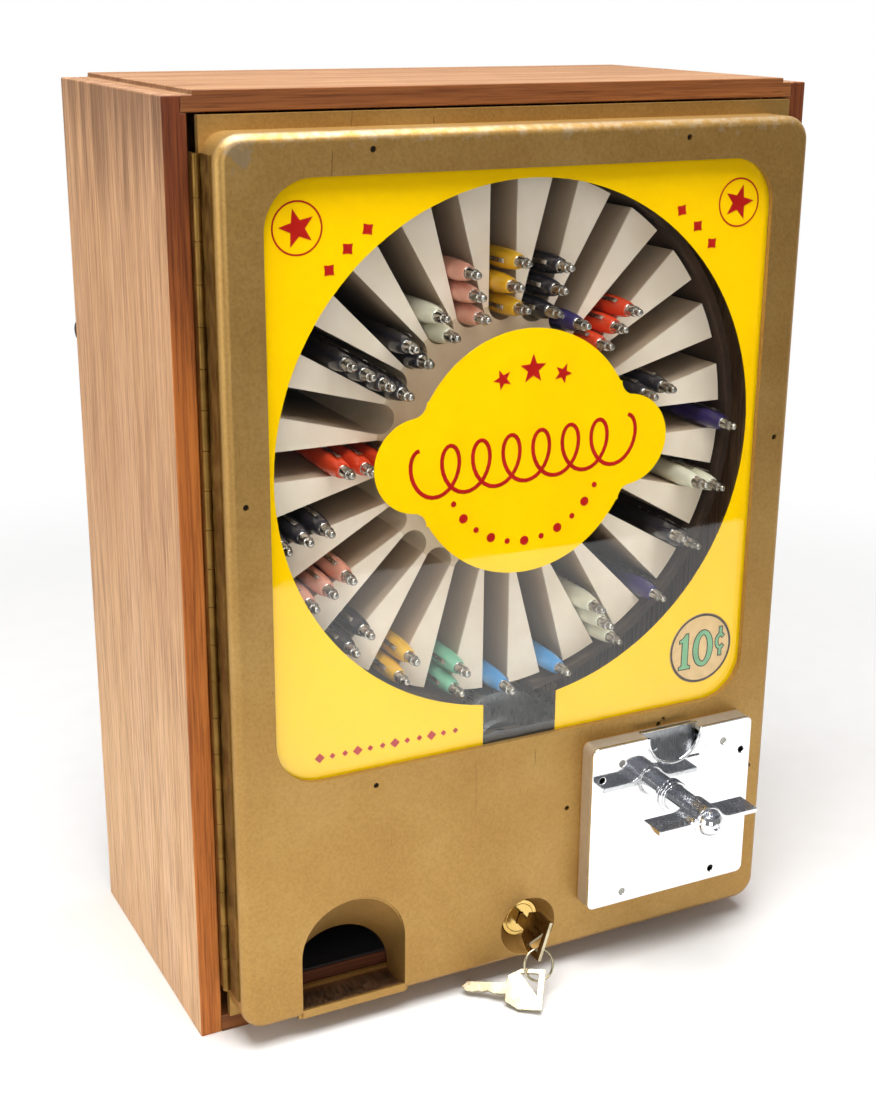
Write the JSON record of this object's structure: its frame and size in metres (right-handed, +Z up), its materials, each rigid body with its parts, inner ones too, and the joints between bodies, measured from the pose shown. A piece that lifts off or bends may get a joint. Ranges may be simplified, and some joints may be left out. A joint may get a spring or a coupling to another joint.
{
  "type": "pen vending machine",
  "caption": "Countertop coin pen vending machine: wooden case, hinged metal door, round window onto a slotted pen drum, wing coin handle, delivery opening and keyed lock.",
  "frame": {"origin": "middle of the wooden case's footprint, on the table", "axes": "+Z up, the door faces -Y, +X to the right seen from the front"},
  "size_m": [0.364, 0.2784, 0.4973],
  "materials": {
    "case_wood": "oiled, worn",
    "rough_wood": "plain",
    "door_paint": "gold-bronze paint, worn",
    "clear_pane": "clear sheet",
    "print_yellow": "printed",
    "print_tan": "printed",
    "dark_frame": "dull black",
    "stud_steel": "dull",
    "hinge_brass": "dull",
    "chrome": "bright",
    "screw_steel": "plain",
    "housing_steel": "dull",
    "bracket_steel": "dull",
    "lock_brass": "bright",
    "key_nickel": "worn plate",
    "drum_white": "satin",
    "gear_brass": "plain",
    "rotor_grey": "dull",
    "shroud_brown": "dull brown",
    "chute_grey": "dull",
    "pen_yellow": "gloss",
    "pen_black": "gloss",
    "pen_navy": "gloss",
    "pen_red": "gloss",
    "pen_cream": "gloss",
    "pen_blue": "gloss",
    "pen_green": "gloss",
    "pen_pink": "gloss"
  },
  "bodies": {
    "case": {"left_side": "case_wood", "right_side": "case_wood", "top_panel": "case_wood", "bottom_panel": "rough_wood", "back_panel": "rough_wood", "screw_eyes": "stud_steel", "hinge_case": "hinge_brass", "strike_plate": "bracket_steel", "axle": "screw_steel", "mech_plate": "housing_steel", "bearings": "bracket_steel", "shaft_bracket": "bracket_steel", "shroud": "shroud_brown", "shroud_posts": "housing_steel", "chute": "chute_grey", "delivery_sill": "rough_wood", "coin_box": "housing_steel"},
    "door": {"door": "door_paint", "window_pane": "clear_pane", "printed_panel": "print_yellow", "medallion": "print_yellow", "price_disc": "print_tan", "pane_frame": "dark_frame", "frame_studs": "stud_steel", "hinge_door": "hinge_brass", "coin_plate": "chrome", "plate_screws": "screw_steel", "coin_housing": "housing_steel", "coin_chute": "housing_steel", "lock_bracket": "bracket_steel", "lock_barrel": "lock_brass"},
    "handle": {"coin_handle": "chrome", "spindle": "screw_steel", "coin_wheel": "housing_steel"},
    "lock": {"lock_plug": "lock_brass", "lock_cam": "screw_steel"},
    "key": {"key": "key_nickel"},
    "spare": {"key_ring": "key_nickel", "spare_key": "key_nickel"},
    "drum": {"drum": "drum_white", "drum_fins": "drum_white", "drum_disc": "drum_white", "drum_gear": "gear_brass", "pen_buttons": "chrome", "pens_yellow": "pen_yellow", "pens_black": "pen_black", "pens_navy": "pen_navy", "pens_red": "pen_red", "pens_cream": "pen_cream", "pens_blue": "pen_blue", "pens_green": "pen_green", "pens_pink": "pen_pink"},
    "rotor": {"rotor": "rotor_grey", "rotor_cap": "chrome", "feed_gears": "gear_brass", "rotor_shaft": "screw_steel"},
    "drive": {"drive_shaft": "screw_steel", "drive_pinion": "gear_brass"}
  },
  "joints": [
    {"name": "door_swing", "type": "hinge", "parent": "case", "child": "door", "pos_m": [-0.1689, -0.0925, 0.25], "axis": [0, 0, -1], "range_deg": [0, 105]},
    {"name": "drum_turn", "type": "hinge", "parent": "case", "child": "drum", "pos_m": [0, 0, 0.313], "axis": [0, 1, 0], "continuous": true},
    {"name": "rotor_turn", "type": "hinge", "parent": "case", "child": "rotor", "pos_m": [0, 0, 0.135], "axis": [0, 1, 0], "continuous": true},
    {"name": "drive_turn", "type": "hinge", "parent": "case", "child": "drive", "pos_m": [0.092, 0, 0.103], "axis": [0, 1, 0], "continuous": true},
    {"name": "handle_turn", "type": "hinge", "parent": "door", "child": "handle", "pos_m": [0.092, -0.12, 0.103], "axis": [0, 1, 0], "continuous": true},
    {"name": "lock_turn", "type": "hinge", "parent": "door", "child": "lock", "pos_m": [0.006, -0.09, 0.0335], "axis": [0, -1, 0], "range_deg": [0, 90]},
    {"name": "key_pull", "type": "slide", "parent": "lock", "child": "key", "axis": [0, -1, 0], "range_m": [0, 0.024]},
    {"name": "ring_hang", "type": "hinge", "parent": "key", "child": "spare", "pos_m": [0.00281, -0.1267, 0.02339], "axis": [0, -1, 0], "range_deg": [-90, 0]}
  ],
  "couplings": [
    {"joint": "handle_turn", "follows": "drum_turn", "ratio": 12},
    {"joint": "drive_turn", "follows": "drum_turn", "ratio": 12},
    {"joint": "rotor_turn", "follows": "drum_turn", "ratio": -4},
    {"joint": "ring_hang", "follows": "lock_turn", "ratio": -1}
  ]
}
